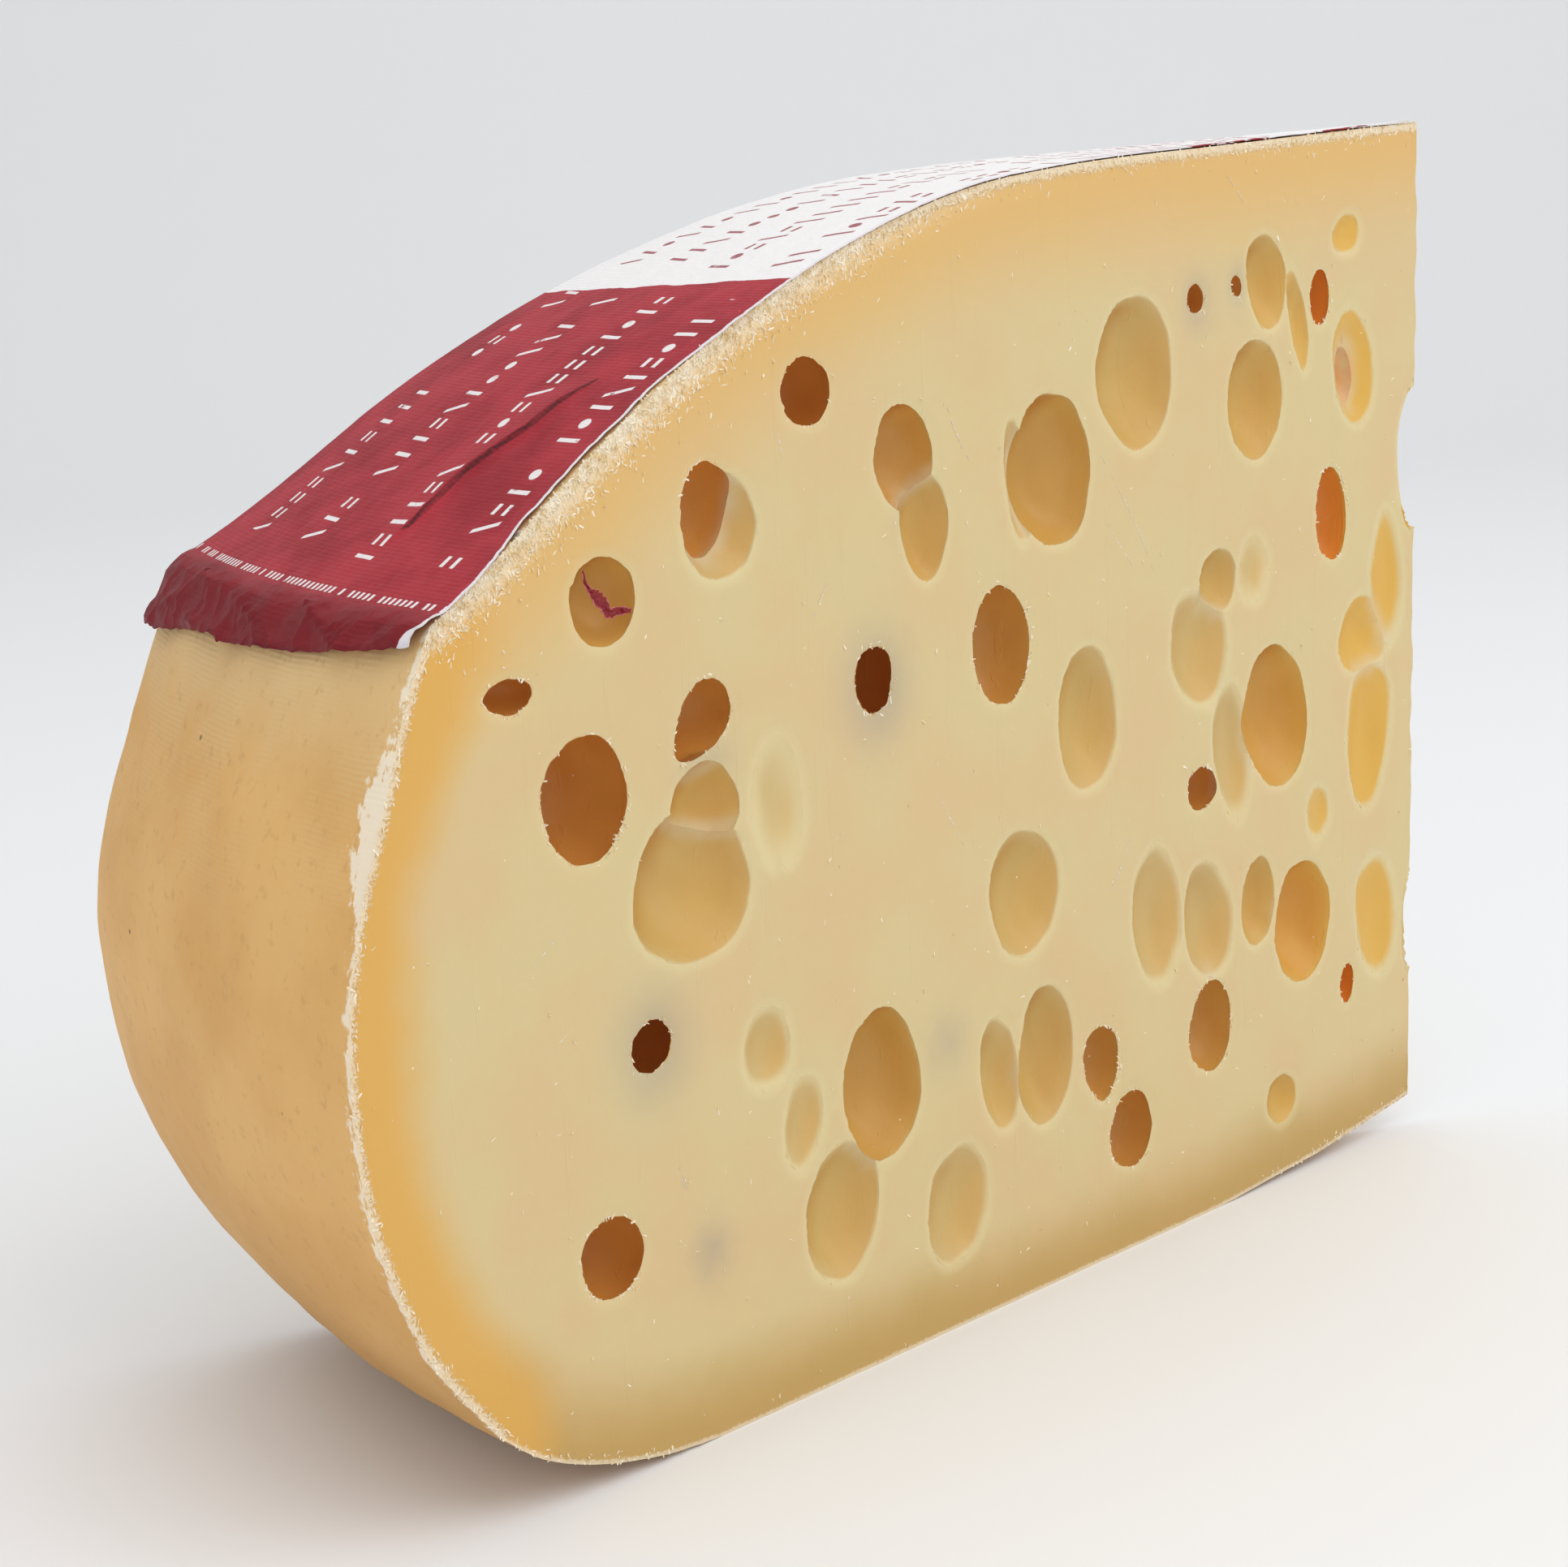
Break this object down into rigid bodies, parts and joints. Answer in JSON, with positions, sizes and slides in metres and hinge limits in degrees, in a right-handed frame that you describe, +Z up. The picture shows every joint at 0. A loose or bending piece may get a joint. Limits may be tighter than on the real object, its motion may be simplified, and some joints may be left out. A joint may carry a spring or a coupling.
{
  "type": "emmental wedge",
  "caption": "Tall wedge cut from a domed wheel of hard cheese, with round eyes on both cut faces and a printed paper over its top and shoulder.",
  "frame": {"origin": "middle of the wedge's box on the surface that it stands on", "axes": "+Z up, +X from the rind towards the tip, -Y out of the near cut face"},
  "size_m": [0.349, 0.1339, 0.2714],
  "materials": {
    "paste": "pale yellow waxy cheese paste with a tan rubbed rind",
    "label": "thin ribbed paper, dark red over the shoulder and white towards the tip"
  },
  "bodies": {
    "root": {"paste": "paste", "label": "label", "label_scrap": "label"}
  },
  "joints": []
}
